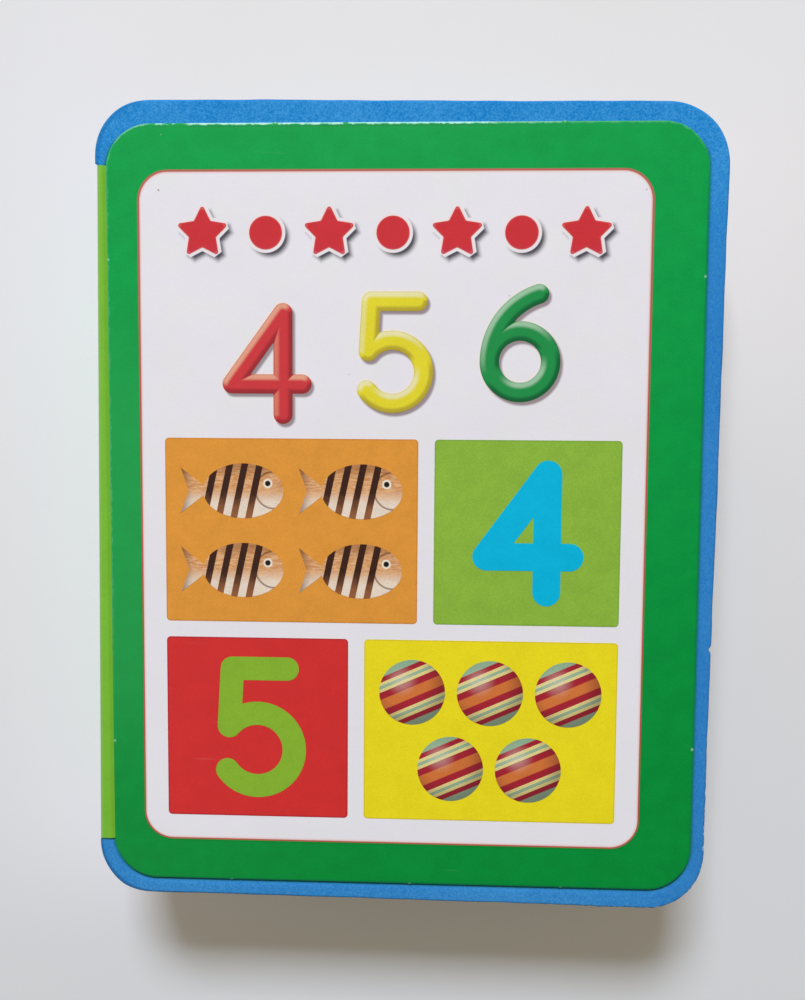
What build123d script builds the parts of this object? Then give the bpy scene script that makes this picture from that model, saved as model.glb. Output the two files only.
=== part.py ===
"""A child's foam board book, lying closed on its back cover.

Six soft foam leaves carry printed card panels. The four inner leaves are one block of pages. The two
outer leaves are covers, and a folded card strip round the spine holds covers and pages together.

The origin is the centre of the book's underside. +X runs from the spine to the fore edge, +Y to the
head, and +Z up through the pages to the front cover. All sizes are in millimetres.
"""

from build123d import *
import os
from math import atan2, degrees

# Foam leaves
book_width = 140.0
leaf_height = 182.0
leaf_corner = 12.7
foam_thickness = 4.8
foam_edge = 0.6
inner_leaves = 4

# Card panels, and how the front one lies on its leaf
panel_side_margin = 3.25
panel_end_margin = 4.55
panel_corner = 10.0
panel_thickness = 0.45
front_panel_turn = 0.52
front_panel_shift_x = -0.45
front_panel_shift_y = -0.35

# Spine strip
strip_thickness = 0.3
strip_head_margin = 14.6
strip_foot_margin = 12.7
strip_flap = 14.0

# Print: the white field in the panel's green border, and the thin line round it
ink_thickness = 0.05
field_spine_margin = 7.3
field_fore_margin = 12.0
field_head_margin = 10.6
field_foot_margin = 9.8
field_corner = 6.4
keyline_width = 0.55

# Print: the row of red marks along the field's head, stars with a dot between each two
star_count = 4
mark_head_margin = 13.4
star_radius = 6.3
star_waist = 3.2
star_tip = 0.5
dot_radius = 3.7

# Print: the three big numerals on a rising line; a weight is a stroke's width to its numeral's height
numeral_height = 27.0
numeral_weight = 0.16
numeral_rise = 2.6
numeral_head_margin = 39.8

# Print: two rows of a wide and a narrow tile
tile_corner = 0.9
tile_gap = 3.7
tile_side_margin = 5.35
tile_head_gap = 3.3
tile_foot_margin = 5.6
tile_stagger = 15.7

# Print: numerals and pictures on the tiles
tile_numeral_margin = 4.5
blue_weight = 0.19
lime_weight = 0.165
fish_side_gap = 3.5
fish_row_gap = 5.7
fish_stripe = 1.5
fish_stripe_count = 4
fish_stripe_pitch = 3.4
fish_stripe_tilt = -12.0
ball_margin = 3.5
ball_gap = 2.7
ball_band = 2.1
ball_tilt = 24.0

# The leaves' and the panels' sizes and levels
leaf_width = book_width - strip_thickness
leaf_centre_x = strip_thickness / 2
leaf_pitch = foam_thickness + 2 * panel_thickness
back_joint_z = leaf_pitch
front_joint_z = leaf_pitch * (inner_leaves + 1)
book_thickness = leaf_pitch * (inner_leaves + 2)
foam_round = min(foam_edge, 0.45 * foam_thickness)
panel_width = leaf_width - 2 * panel_side_margin
panel_height = leaf_height - 2 * panel_end_margin

# The strip's size and place
spine_face_x = -book_width / 2
strip_length = leaf_height - strip_head_margin - strip_foot_margin
strip_shift_y = (strip_foot_margin - strip_head_margin) / 2

# The print's sizes and places, from the panel's centre
field_width = panel_width - field_spine_margin - field_fore_margin
field_height = panel_height - field_head_margin - field_foot_margin
field_shift_x = (field_spine_margin - field_fore_margin) / 2
field_shift_y = (field_foot_margin - field_head_margin) / 2
mark_count = 2 * star_count - 1
mark_pitch = field_width / (mark_count + 1)
numeral_pitch = field_width / 4
tile_row_width = field_width - 2 * tile_side_margin
wide_tile = (tile_row_width - tile_gap + tile_stagger) / 2
narrow_tile = wide_tile - tile_stagger
tiles_head_margin = numeral_head_margin + numeral_height / 2 + numeral_rise + tile_head_gap
tile_height = (field_height - tiles_head_margin - tile_gap - tile_foot_margin) / 2
tile_numeral_height = tile_height - 2 * tile_numeral_margin
fish_length = (wide_tile - 3 * fish_side_gap) / 2
fish_depth = (tile_height - 3 * fish_row_gap) / 2
ball_radius_across = (wide_tile - 2 * ball_margin - 2 * ball_gap) / 6
ball_radius_down = (tile_height - 2 * ball_margin - ball_gap) / 4
ball_radius = min(ball_radius_across, ball_radius_down)


# Foam, card and strip


def foam_leaf(bottom_z):
    """One foam sheet with rounded corners and softened cut edges."""
    outline = RectangleRounded(leaf_width, leaf_height, leaf_corner)
    sheet = Pos(leaf_centre_x, 0, bottom_z) * extrude(outline, foam_thickness)
    levels = sheet.edges().group_by(Axis.Z)
    return fillet(levels[0] + levels[-1], foam_round)


def card_panel(bottom_z, thickness=panel_thickness):
    """A card panel, or two back to back, square on its leaf."""
    outline = RectangleRounded(panel_width, panel_height, panel_corner)
    return Pos(leaf_centre_x, 0, bottom_z) * extrude(outline, thickness)


def on_front_panel(piece):
    """Carries a piece drawn about the origin to where the front panel is glued."""
    middle_x = leaf_centre_x + front_panel_shift_x
    return Pos(middle_x, front_panel_shift_y, 0) * Rot(0, 0, front_panel_turn) * piece


def front_panel():
    """The front cover's panel, glued on a little turned."""
    outline = RectangleRounded(panel_width, panel_height, panel_corner)
    bottom_z = book_thickness - panel_thickness
    return on_front_panel(Pos(0, 0, bottom_z) * extrude(outline, panel_thickness))


def strip_section(skin):
    """The front fold in section, filled, its faces set back from the strip's outer faces by skin."""
    left_x = spine_face_x + skin
    width = strip_flap - skin
    height = book_thickness - panel_thickness - skin - front_joint_z
    corner_at = (Align.MIN, Align.MIN)
    block = Pos(left_x, front_joint_z) * Rectangle(width, height, align=corner_at)
    bend = block.vertices().group_by(Axis.X)[0].sort_by(Axis.Y)[-1]
    return fillet(bend, foam_round + strip_thickness - skin)


def along_spine(section):
    """Draws a section out along the spine for the strip's length."""
    head_y = strip_shift_y + strip_length / 2
    return Pos(0, head_y, 0) * extrude(Plane.XZ * section, strip_length)


def front_strip():
    """The strip's flap on the front cover and the stretch of spine that turns with it."""
    return along_spine(strip_section(0.0)) - along_spine(strip_section(strip_thickness))


def middle_strip():
    """The stretch of the strip that covers the pages' spine."""
    height = front_joint_z - back_joint_z
    corner_at = (Align.MIN, Align.CENTER, Align.MIN)
    bar = Box(strip_thickness, strip_length, height, align=corner_at)
    return Pos(spine_face_x, strip_shift_y, back_joint_z) * bar


def front_foam():
    """The front cover's foam, pressed in where the strip's flap is glued down."""
    return foam_leaf(front_joint_z + panel_thickness) - front_strip()


def page_block():
    """The inner leaves with their panels, glued into one block."""
    block = card_panel(back_joint_z)
    block += card_panel(front_joint_z - panel_thickness)
    for leaf in range(inner_leaves):
        leaf_z = back_joint_z + leaf * leaf_pitch
        block += foam_leaf(leaf_z + panel_thickness)
        if leaf > 0:
            block += card_panel(leaf_z - panel_thickness, 2 * panel_thickness)
    return block


def turned_over(piece):
    """The same piece at the back of the book."""
    return mirror(piece, about=Plane.XY.offset(book_thickness / 2))


# Numerals, drawn about their middle as round-ended strokes


def line_stroke(start, end, width):
    """A straight round-ended stroke."""
    run_x = end[0] - start[0]
    run_y = end[1] - start[1]
    length = (run_x**2 + run_y**2) ** 0.5
    middle = Pos((start[0] + end[0]) / 2, (start[1] + end[1]) / 2)
    return middle * Rot(0, 0, degrees(atan2(run_y, run_x))) * SlotCenterToCenter(length, width)


def arc_stroke(centre, radius, first_angle, sweep, width):
    """A round-ended stroke along an arc, angles in degrees."""
    arc = CenterArc(centre, radius, first_angle, sweep)
    stroke = trace(arc, width)
    for end in (arc @ 0, arc @ 1):
        stroke += Pos(end.X, end.Y) * Circle(width / 2)
    return stroke


def numeral_four(height, weight):
    """A slanting stroke and a bar, crossed by a stem."""
    width = weight * height
    reach = height - width
    apex = (0.17 * reach, 0.5 * reach)
    elbow = (-0.34 * reach, -0.2 * reach)
    shape = line_stroke(apex, elbow, width)
    shape += line_stroke(elbow, (0.36 * reach, elbow[1]), width)
    return shape + line_stroke(apex, (apex[0], -0.5 * reach), width)


def numeral_five(height, weight):
    """A bar and a stem over an open bowl."""
    width = weight * height
    reach = height - width
    bowl = 0.31 * reach
    centre = (0.0, bowl - 0.5 * reach)
    shoulder = (-0.766 * bowl, centre[1] + 0.643 * bowl)
    corner = (-0.21 * reach, 0.5 * reach)
    shape = arc_stroke(centre, bowl, 140, -285, width)
    shape += line_stroke(shoulder, corner, width)
    return shape + line_stroke(corner, (0.25 * reach, 0.5 * reach), width)


def numeral_six(height, weight):
    """A round bowl with a long tail curving up from its left side."""
    width = weight * height
    reach = height - width
    bowl = 0.3 * reach
    centre_y = bowl - 0.5 * reach
    rise = 0.66 * reach
    run = 0.48 * reach
    tail = (run**2 + rise**2) / (2 * run)
    sweep = degrees(atan2(rise, tail - run))
    shape = arc_stroke((tail - bowl, centre_y), tail, 180, -sweep, width)
    ring = Circle(bowl + width / 2) - Circle(bowl - width / 2)
    return shape + Pos(0, centre_y) * ring


# Marks and pictures


def star():
    """A five-pointed star with blunt tips."""
    points = []
    for step in range(10):
        reach = star_waist if step % 2 else star_radius
        tip = Vector(0, reach).rotate(Axis.Z, 36 * step)
        points.append((tip.X, tip.Y))
    outline = Polygon(*points, align=None)
    return fillet(outline.vertices(), star_tip)


def mark_row():
    """Stars with a dot between each two."""
    row = Sketch()
    for place in range(mark_count):
        mark = Circle(dot_radius) if place % 2 else star()
        row += Pos((place - (mark_count - 1) / 2) * mark_pitch, 0) * mark
    return row


def fish_body():
    """A fish that looks to the right: an oval body and a forked tail."""
    body_length = 0.78 * fish_length
    body = Pos((fish_length - body_length) / 2, 0) * Ellipse(body_length / 2, fish_depth / 2)
    root_x = fish_length / 2 - 0.92 * body_length
    end_x = -fish_length / 2
    fork_x = end_x + 0.08 * fish_length
    spread = 0.42 * fish_depth
    tail = Polygon((root_x, 0), (end_x, spread), (fork_x, 0), (end_x, -spread), align=None)
    return body + tail


def fish_stripes():
    """Dark bars across a fish, cut to its outline."""
    bars = Sketch()
    bar = Rot(0, 0, fish_stripe_tilt) * Rectangle(fish_stripe, 2 * fish_depth)
    for stripe in range(fish_stripe_count):
        bars += Pos((stripe - (fish_stripe_count - 1) / 2) * fish_stripe_pitch, 0) * bar
    return bars & fish_body()


def ball_bands():
    """Two light bands round a ball, cut to its outline."""
    bands = Sketch()
    for side in (-1, 1):
        bands += Pos(0, side * ball_radius / 2) * Rectangle(3 * ball_radius, ball_band)
    return Rot(0, 0, ball_tilt) * bands & Circle(ball_radius)


def four_places(shape):
    """Copies a shape to four places, two above two."""
    copies = Sketch()
    for side_x in (-0.5, 0.5):
        for side_y in (-0.5, 0.5):
            x = side_x * (fish_length + fish_side_gap)
            y = side_y * (fish_depth + fish_row_gap)
            copies += Pos(x, y) * shape
    return copies


def five_places(shape):
    """Copies a shape to five places, three above two."""
    copies = Sketch()
    pitch = 2 * ball_radius + ball_gap
    for step in (-1, 0, 1):
        copies += Pos(step * pitch, pitch / 2) * shape
    for step in (-0.5, 0.5):
        copies += Pos(step * pitch, -pitch / 2) * shape
    return copies


# Places in the field, from the panel's centre


def in_field(shape, x, y):
    """Moves a shape to a place measured from the field's centre."""
    return Pos(field_shift_x + x, field_shift_y + y) * shape


def tile_place(row, wide):
    """The middle of a tile: the upper row starts with its wide tile, the lower row ends with it."""
    width = wide_tile if wide else narrow_tile
    from_left = wide == (row == "upper")
    x = (width - tile_row_width) / 2 if from_left else (tile_row_width - width) / 2
    lower_y = tile_foot_margin + tile_height / 2 - field_height / 2
    y = lower_y + (tile_height + tile_gap if row == "upper" else 0)
    return x, y


def tile(row, wide):
    """One flat tile of the print."""
    outline = RectangleRounded(wide_tile if wide else narrow_tile, tile_height, tile_corner)
    return in_field(outline, *tile_place(row, wide))


def on_tile(shape, row, wide):
    """Moves a shape to the middle of a tile."""
    return in_field(shape, *tile_place(row, wide))


def big_numeral(shape, step):
    """Moves one of the three big numerals to its place on the rising line."""
    y = field_height / 2 - numeral_head_margin + step * numeral_rise
    return in_field(shape(numeral_height, numeral_weight), step * numeral_pitch, y)


def keyline():
    """The thin line round the field."""
    outer = (field_width + 2 * keyline_width, field_height + 2 * keyline_width)
    line = RectangleRounded(*outer, field_corner + keyline_width)
    return line - RectangleRounded(field_width, field_height, field_corner)


def ink(shape, layer):
    """A printed shape as a thin solid, in its layer above the front panel."""
    bottom_z = book_thickness + (layer - 1) * ink_thickness
    return on_front_panel(Pos(0, 0, bottom_z) * extrude(shape, ink_thickness))


def printed_fields():
    """Every field of colour on the front panel, by name."""
    field = RectangleRounded(field_width, field_height, field_corner)
    row_y = field_height / 2 - mark_head_margin
    blue_four = numeral_four(tile_numeral_height, blue_weight)
    lime_five = numeral_five(tile_numeral_height, lime_weight)
    return {
        "print_white_field": ink(in_field(field, 0, 0), 1),
        "print_red_keyline": ink(in_field(keyline(), 0, 0), 1),
        "print_red_marks": ink(in_field(mark_row(), 0, row_y), 2),
        "print_red_numeral": ink(big_numeral(numeral_four, -1), 2),
        "print_yellow_numeral": ink(big_numeral(numeral_five, 0), 2),
        "print_green_numeral": ink(big_numeral(numeral_six, 1), 2),
        "print_orange_tile": ink(tile("upper", True), 2),
        "print_lime_tile": ink(tile("upper", False), 2),
        "print_red_tile": ink(tile("lower", False), 2),
        "print_yellow_tile": ink(tile("lower", True), 2),
        "print_blue_numeral": ink(on_tile(blue_four, "upper", False), 3),
        "print_lime_numeral": ink(on_tile(lime_five, "lower", False), 3),
        "print_fish": ink(on_tile(four_places(fish_body()), "upper", True), 3),
        "print_fish_stripes": ink(on_tile(four_places(fish_stripes()), "upper", True), 4),
        "print_balls": ink(on_tile(five_places(Circle(ball_radius)), "lower", True), 3),
        "print_ball_bands": ink(on_tile(five_places(ball_bands()), "lower", True), 4),
    }


def book():
    """Every piece of the book, by name."""
    pieces = {
        "front_cover_foam": front_foam(),
        "front_cover_panel": front_panel(),
        "front_inside_panel": card_panel(front_joint_z),
        "front_spine_strip": front_strip(),
        "page_block": page_block(),
        "spine_strip": middle_strip(),
        "back_spine_strip": turned_over(front_strip()),
        "back_inside_panel": turned_over(card_panel(front_joint_z)),
        "back_cover_foam": turned_over(front_foam()),
        "back_cover_panel": card_panel(0.0),
    }
    return pieces | printed_fields()


os.makedirs("parts", exist_ok=True)
for name, piece in book().items():
    export_step(piece, f"parts/{name}.step")
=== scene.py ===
from math import atan2, cos, pi, radians, sin, tau

import bpy
import numpy as np
from mathutils import Matrix, Vector


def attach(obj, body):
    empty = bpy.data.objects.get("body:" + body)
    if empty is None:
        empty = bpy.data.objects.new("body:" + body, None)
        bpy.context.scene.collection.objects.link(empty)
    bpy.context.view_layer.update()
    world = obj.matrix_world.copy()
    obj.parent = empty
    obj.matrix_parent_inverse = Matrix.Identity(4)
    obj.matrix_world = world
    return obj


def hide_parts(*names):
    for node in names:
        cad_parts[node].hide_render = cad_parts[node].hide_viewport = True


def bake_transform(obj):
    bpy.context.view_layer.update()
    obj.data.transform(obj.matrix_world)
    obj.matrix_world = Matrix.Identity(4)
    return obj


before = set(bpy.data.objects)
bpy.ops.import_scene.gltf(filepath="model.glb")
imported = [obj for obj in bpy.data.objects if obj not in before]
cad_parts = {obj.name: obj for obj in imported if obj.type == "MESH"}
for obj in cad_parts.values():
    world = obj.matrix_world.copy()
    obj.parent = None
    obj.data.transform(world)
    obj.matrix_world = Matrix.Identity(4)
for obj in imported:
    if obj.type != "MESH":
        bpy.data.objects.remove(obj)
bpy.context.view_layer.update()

# All sizes below are in millimetres; add_piece() turns them into metres.
MM = 0.001

# Foam leaves
leaf_width = 140.0
leaf_height = 182.0
leaf_centre_x = 0.3
leaf_corner = 12.7
front_leaf_corners = (13.5, 12.3, 11.9, 12.7)
foam_thickness = 4.8
foam_edge = 0.6
leaf_pitch = 5.7
book_thickness = 34.2
back_joint_z = 5.7
front_joint_z = 28.5

# How the inner leaves lie: each one's wander, and how far its fore edge is moved
inner_leaves = ((0.2, 0.0), (-0.26, -0.12), (0.24, -0.05), (-0.18, -0.2))

# How far points may be from a leaf's face and still belong to it
face_reach = 0.7

# How finely the sheets are drawn: points once round each
front_columns = 1400
back_columns = 700
inner_columns = 500

# Card panels, and how the front one lies on its leaf
panel_width = 133.6
panel_height = 172.9
panel_corner = 10.0
panel_thickness = 0.45
panel_edge_run = 0.28
panel_edge_drop = 0.22
front_panel_x = -0.30
front_panel_y = -0.35
front_panel_turn = radians(0.52)

# How far the pages' cards are moved, from the lowest up
page_card_shifts = ((0.1, 0.2), (-0.2, 0.1), (0.15, -0.25), (0.25, 0.15), (-0.1, -0.1))

# Nicks in the front panel's outline: x and y from its middle, how far one stands out, how pale it is
nick_width = 0.35
nicks = (
    (-28.6, 86.4, 0.22, 0.5), (-13.0, 86.4, 0.0, 0.0), (35.2, 86.4, 0.2, 0.4),
    (66.5, 52.9, 0.12, 0.5), (66.5, -53.3, 0.12, 0.65), (-66.5, 56.5, 0.1, 0.45), (-66.5, -53.9, 0.1, 0.5),
    (-39.2, -86.4, 0.15, 0.2), (2.4, -86.4, 0.2, 0.2), (37.3, -86.4, 0.15, 0.15),
)

# Spine strip
spine_x = -70.0
strip_thickness = 0.3
strip_head_y = 76.4
strip_foot_y = -78.3
strip_flap_x = -56.0
strip_lift = 0.3
strip_bend_radius = 0.9

# How the front foam leaf is pressed in round its panel, and swells at its spine past the strip's ends
groove_depth = 0.35
groove_reach = 0.9
head_swell = 0.85
foot_swell = 0.43

# The dent in the front leaf's fore edge
dent_y = -30.1
dent_depth = 0.55
dent_width = 0.55

# Print on the front panel, from the panel's centre
field_x = -2.35
field_y = -0.4
field_width = 113.9
field_height = 152.5
field_corner = 6.4
border_inset = 9.0
mark_pitch = 14.2375
marks_each_side = 3.0
mark_y = field_y + 62.85
star_radius = 6.3
star_waist = 3.2
star_tip = 0.5
dot_radius = 3.7
numeral_height = 27.0
stroke_width = 0.16 * numeral_height
numeral_reach = numeral_height - stroke_width
numeral_pitch = 28.475
numeral_y = field_y + 36.45
numeral_rise = 2.6
wide_tile = 57.6
wide_tile_x = 22.8
narrow_tile = 41.9
narrow_tile_x = 30.65
tile_height = 42.0
tile_corner = 0.9
upper_tile_y = field_y - 3.95
lower_tile_y = field_y - 49.65
fish_pitch_x = 27.05
fish_pitch_y = 18.15
fish_length = 23.55
ball_pitch = 17.77
ball_radius = 7.53
ball_tilt = radians(24.0)
knit_width = 0.55
knit_height = 0.5

# The film over print, and a dark speck in it, in the book's frame
film_specular = 0.15
field_speck = (-55.87, 70.96)

# Where the camera and the lamp stand, in metres, and the ways to the picture's middle and to its foot
camera_place = (0.00902, 0.01896, 0.25954)
camera_forward = (-0.0406, -0.0723, -0.9966)
camera_down = (0.0191, -0.9973, 0.0716)
lamp_place = (-0.165, 1.49, 1.46)


# Camera, light and floor


def paint(red, green, blue):
    """A colour given as it is seen, 0 to 255, as the linear colour that a shader takes."""
    seen = np.array([red, green, blue]) / 255
    linear = np.where(seen <= 0.04045, seen / 12.92, ((seen + 0.055) / 1.055) ** 2.4)
    return (*linear.tolist(), 1.0)


def put_camera():
    """A camera nearly straight above the book, a little towards its head, with the long side upright."""
    forward = Vector(camera_forward).normalized()
    down = Vector(camera_down)
    down = (down - forward * down.dot(forward)).normalized()
    right = down.cross(forward)
    data = bpy.data.cameras.new("camera")
    data.sensor_fit = "VERTICAL"
    data.sensor_height = 24.0
    data.lens = 24.0
    data.clip_start = 0.01
    camera = bpy.data.objects.new("camera", data)
    turn = Matrix((right, -down, -forward)).transposed().to_4x4()
    camera.matrix_world = Matrix.Translation(camera_place) @ turn
    bpy.context.collection.objects.link(camera)
    bpy.context.scene.camera = camera


def put_window_light():
    """A soft oblong lamp beyond the book's head, its width level, that shines at the middle of its cover."""
    data = bpy.data.lights.new("window_light", "AREA")
    data.shape = "RECTANGLE"
    data.size = 0.66
    data.size_y = 0.44
    data.energy = 36.8
    data.color = (0.94, 1.0, 1.10)
    lamp = bpy.data.objects.new("window_light", data)
    cover_middle = Vector((0, 0, 0.03))
    away = Vector(lamp_place) - cover_middle
    lamp.matrix_world = Matrix.Translation(lamp_place) @ away.to_track_quat("Z", "Y").to_matrix().to_4x4()
    bpy.context.collection.objects.link(lamp)


def put_surroundings():
    """A dim warm room that lights the shaded sides, and a pale backdrop for the camera and for reflections.

    Overhead the backdrop is brighter towards the head's left and dim the other way, and the film shows that.
    """
    world = bpy.data.worlds.new("room")
    bpy.context.scene.world = world
    world.use_nodes = True
    n = Nodes(world.node_tree)
    fill = world.node_tree.nodes["Background"]
    fill.inputs["Color"].default_value = (0.335, 0.283, 0.200, 1)
    fill.inputs["Strength"].default_value = 1.0
    way = n.node("ShaderNodeTexCoord").outputs["Generated"]
    x, y, z = n.parts(way)
    glow = n.fade(n.measure("DOT_PRODUCT", way, (-0.88, 0.47, 0)), -0.25, 0.22, 0.0, 1.45)
    strength = n.plus(n.times(n.fade(z, 0.5, 0.8), n.minus(glow, 1.0)), 1.0)
    backdrop = n.node("ShaderNodeBackground", {"Color": paint(222, 223, 226), "Strength": strength})
    path = n.node("ShaderNodeLightPath").outputs
    seen = n.most(path["Is Camera Ray"], path["Is Glossy Ray"], path["Is Transmission Ray"])
    mix = n.node("ShaderNodeMixShader", {0: seen, 1: fill.outputs[0], 2: backdrop.outputs[0]})
    n.feed(world.node_tree.nodes["World Output"].inputs["Surface"], mix.outputs[0])


# Shapes: every surface is a net of points, worked out as whole arrays


def add_piece(name, parts, materials):
    """Makes one mesh from parts, each a net of points with the material's number for each row of its faces.

    A net's rows are its first side. Its columns go once round, so the last joins the first. Its first and
    last rows are closed by fans to their middles. Faces point to the left of the way round, seen with the
    rows going down.
    """
    corners = []
    quads = []
    fans = []
    quad_paint = []
    fan_paint = []
    base = 0
    for net, row_paint in parts:
        rows, columns = net.shape[:2]
        number = base + np.arange(rows * columns).reshape(rows, columns)
        beside = np.roll(number, -1, axis=1)
        quads.append(np.stack([number[:-1], number[1:], beside[1:], beside[:-1]], axis=-1).reshape(-1, 4))
        quad_paint.append(np.repeat(row_paint, columns))
        first = np.full(columns, base + rows * columns)
        last = first + 1
        fans.append(np.stack([first, number[0], beside[0]], axis=-1))
        fans.append(np.stack([last, beside[-1], number[-1]], axis=-1))
        fan_paint.append(np.repeat([row_paint[0], row_paint[-1]], columns))
        middles = np.stack([net[0].mean(axis=0), net[-1].mean(axis=0)])
        corners.append(np.concatenate([net.reshape(-1, 3), middles]))
        base += rows * columns + 2
    faces = np.concatenate(quads).tolist() + np.concatenate(fans).tolist()
    mesh = bpy.data.meshes.new(name)
    mesh.from_pydata((np.concatenate(corners) * MM).tolist(), [], faces)
    for material in materials:
        mesh.materials.append(material)
    face_paint = np.concatenate(quad_paint + fan_paint).astype(np.int32)
    mesh.polygons.foreach_set("material_index", face_paint)
    mesh.polygons.foreach_set("use_smooth", np.ones(len(faces), dtype=bool))
    mesh.update()
    piece = bpy.data.objects.new(name, mesh)
    bpy.context.collection.objects.link(piece)
    return piece


def outline(width, height, corner, count):
    """Points evenly spaced once round a rounded rectangle, anticlockwise from the middle of its right side.

    Each corner is a quarter circle about a point set in by the corner's radius, and straight runs join them.
    Corner is one radius, or four from the upper right round. Gives x, y, the outward direction as an angle,
    and the length walked.
    """
    bend = np.linspace(0, pi / 2, 33)
    facing = (np.arange(4)[:, None] * (pi / 2) + bend).ravel()
    corner = np.repeat(np.broadcast_to(corner, 4), len(bend))
    x = np.repeat([1, -1, -1, 1], len(bend)) * (width / 2 - corner) + corner * np.cos(facing)
    y = np.repeat([1, 1, -1, -1], len(bend)) * (height / 2 - corner) + corner * np.sin(facing)
    x = np.append(x, x[0])
    y = np.append(y, y[0])
    facing = np.append(facing, tau)
    walked = np.append(0, np.cumsum(np.hypot(np.diff(x), np.diff(y))))
    steps = np.linspace(0, walked[-1], count, endpoint=False)
    return np.interp(steps, walked, x), np.interp(steps, walked, y), np.interp(steps, walked, facing), steps


def waves(steps, length, sizes, counts, starts):
    """A gentle wander along a closed line: sines that fit round it a whole number of times, added up."""
    total = np.zeros_like(steps)
    for size, count, start in zip(sizes, counts, starts):
        total += size * np.sin(tau * count * steps / length + start)
    return total


def carried_round(x, y, facing, inset, height):
    """A section carried round an outline: each row moves in by its inset, at its own height."""
    net = np.empty((len(inset), len(x), 3))
    net[:, :, 0] = x - inset[:, None] * np.cos(facing)
    net[:, :, 1] = y - inset[:, None] * np.sin(facing)
    net[:, :, 2] = np.broadcast_to(height[:, None], net.shape[:2])
    return net


def drawn_in(net, shares):
    """Rows that draw a net's first row in towards its middle, each to a share of its size, smallest first."""
    middle = net[0].mean(axis=0) * (1, 1, 0)
    shares = np.array(shares)[:, None, None] * (1, 1, 0) + (0, 0, 1)
    return middle + shares * (net[0] - middle)


def closed_sheet(x, y, facing, inset, height):
    """A section carried round, closed above and below by rows drawn in to the middle."""
    net = carried_round(x, y, facing, inset, height)
    shares = [0.05, 0.4, 0.75]
    above = drawn_in(net, shares)
    below = drawn_in(net[::-1], shares)[::-1]
    return np.concatenate([above, net, below])


def smooth(value, low, high):
    """Goes from 0 at low to 1 at high in a smooth curve."""
    share = np.clip((value - low) / (high - low), 0, 1)
    return share * share * (3 - 2 * share)


def turned(x, y, turn):
    """Points turned about the origin by an angle."""
    return x * cos(turn) - y * sin(turn), x * sin(turn) + y * cos(turn)


def front_panel_edge_x(y):
    """Where the turned front panel's spine edge lies, at each y."""
    return front_panel_x - panel_width / 2 - (y - front_panel_y) * sin(front_panel_turn)


def foam_net(bottom_z, count, wander, worn=0.0):
    """One foam sheet: a flat face, a rounded cut edge that wanders a little, and a flat face below.

    The edge's section is a quarter circle, a side that is drawn in a little at its middle, and a quarter
    circle. The spine side keeps just behind the strip. Worn is for the front leaf: how ragged its lower
    fore-edge corner is. That leaf also has four corners of its own and a dent in its fore edge, reaches out
    a little at the foot, and swells at the spine past the strip's ends, which hold it in between.
    """
    x, y, facing, steps = outline(leaf_width, leaf_height, front_leaf_corners if worn else leaf_corner, count)
    length = steps[-1] + steps[1]
    sizes = wander * np.array([0.4, 0.3, 0.22, 0.15])
    shift = waves(steps, length, sizes, (7, 17, 38, 61), (0.3, 1.9, 4.0, 2.2))
    swell = 0.0
    if worn:
        low_right = smooth(-y, 40, 66) * smooth(x, 20, 44)
        shift += worn * low_right * waves(steps, length, (0.6, 0.5, 0.4), (143, 197, 251), (0.5, 2.0, 3.3))
        shift -= dent_depth * np.exp(-(((x - leaf_width / 2) / 3) ** 2) - ((y - dent_y) / dent_width) ** 2)
        shift += 0.3 * smooth(-y, 80, 90) * smooth(-x, 20, 60)
        swell = head_swell * smooth(y, strip_head_y - 0.1, strip_head_y + 0.5)
        swell += foot_swell * smooth(-y, -0.1 - strip_foot_y, 0.5 - strip_foot_y)
    spine_side = smooth(-x, 64, 69)
    shift = shift * (1 - spine_side) - 0.05 * spine_side + swell * smooth(-x, 58, 70)
    x = x + shift * np.cos(facing) + leaf_centre_x
    y = y + shift * np.sin(facing)
    bend = np.linspace(0, pi / 2, 7)
    flat = np.concatenate([[14.6, 13.2, 9.0], np.linspace(6.4, 1.9, 16 if worn else 5), [1.5, 1.1]])
    curve = foam_edge * (1 - np.sin(bend))
    top = foam_thickness - foam_edge * (1 - np.cos(bend))
    side = np.array([0.68, 0.5, 0.32]) * foam_thickness
    inset = np.concatenate([flat, curve, [0.06, 0.09, 0.06], curve[::-1], flat[::-1]])
    level = np.full_like(flat, foam_thickness)
    height = np.concatenate([level, top, side, foam_thickness - top[::-1], foam_thickness - level])
    return closed_sheet(x, y, facing, inset, bottom_z + height)


def front_panel_gap(x, y):
    """Signed distance of points from the turned front panel's outline, less than 0 inside it.

    It is the distance past the middle of the nearest corner's arc, less the arc's radius.
    """
    across, along = turned(x - front_panel_x, y - front_panel_y, -front_panel_turn)
    past_x = np.abs(across) - panel_width / 2 + panel_corner
    past_y = np.abs(along) - panel_height / 2 + panel_corner
    outside = np.hypot(np.maximum(past_x, 0), np.maximum(past_y, 0))
    inside = np.minimum(np.maximum(past_x, past_y), 0)
    return outside + inside - panel_corner


def sunk(net, face_z, up, depth):
    """A foam sheet with one face lowered by a depth. Up is 1 for a face that looks up, -1 for one down."""
    net[:, :, 2] -= up * depth * (np.abs(net[:, :, 2] - face_z) < face_reach)
    return net


def grooved(net, face_z):
    """Sinks a foam sheet's top in a bell-shaped groove along the front panel's outline, less at the head."""
    gap = front_panel_gap(net[:, :, 0], net[:, :, 1])
    depth = groove_depth * (1 - 0.9 * smooth(net[:, :, 1], 70, 84))
    return sunk(net, face_z, 1, depth * np.exp(-((gap / groove_reach) ** 2)))


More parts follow.
